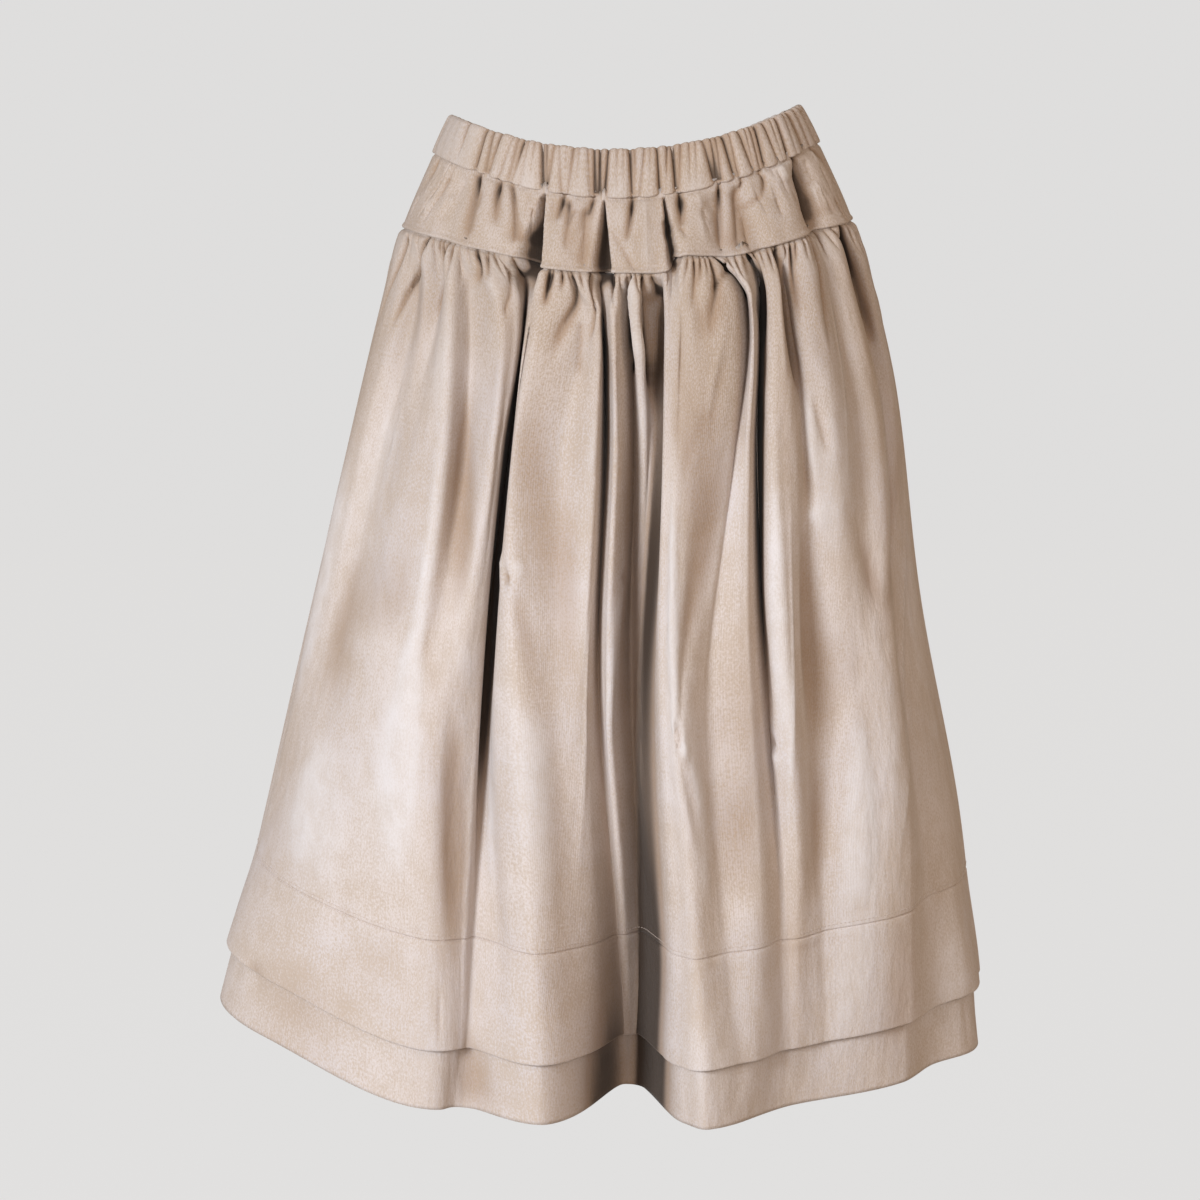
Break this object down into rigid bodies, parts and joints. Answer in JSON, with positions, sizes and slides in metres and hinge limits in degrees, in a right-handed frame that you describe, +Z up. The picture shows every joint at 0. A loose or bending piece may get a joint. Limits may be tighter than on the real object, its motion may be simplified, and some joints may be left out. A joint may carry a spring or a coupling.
{
  "type": "gathered midi skirt",
  "caption": "Beige needlecord midi skirt in its worn form, with an elastic gathered waistband, a plain yoke, a full gathered panel and a deep tuck hanging over the hem.",
  "frame": {"origin": "middle of the waist opening, half-way up the waistband, where the wearer's waist holds the skirt", "axes": "the front faces -Y, +X is the right side seen from the front, +Z is up"},
  "size_m": [0.6337, 0.4529, 0.7802],
  "materials": {
    "needlecord": "fine-wale cotton corduroy, beige, soft matt nap with a faint sheen across the wales",
    "band_needlecord": "the same beige needlecord, gathered over an elastic"
  },
  "bodies": {
    "root": {"waistband": "band_needlecord", "yoke_front": "needlecord", "yoke_back": "needlecord", "skirt_front": "needlecord", "skirt_back": "needlecord", "tuck_front": "needlecord", "tuck_back": "needlecord"}
  },
  "joints": []
}
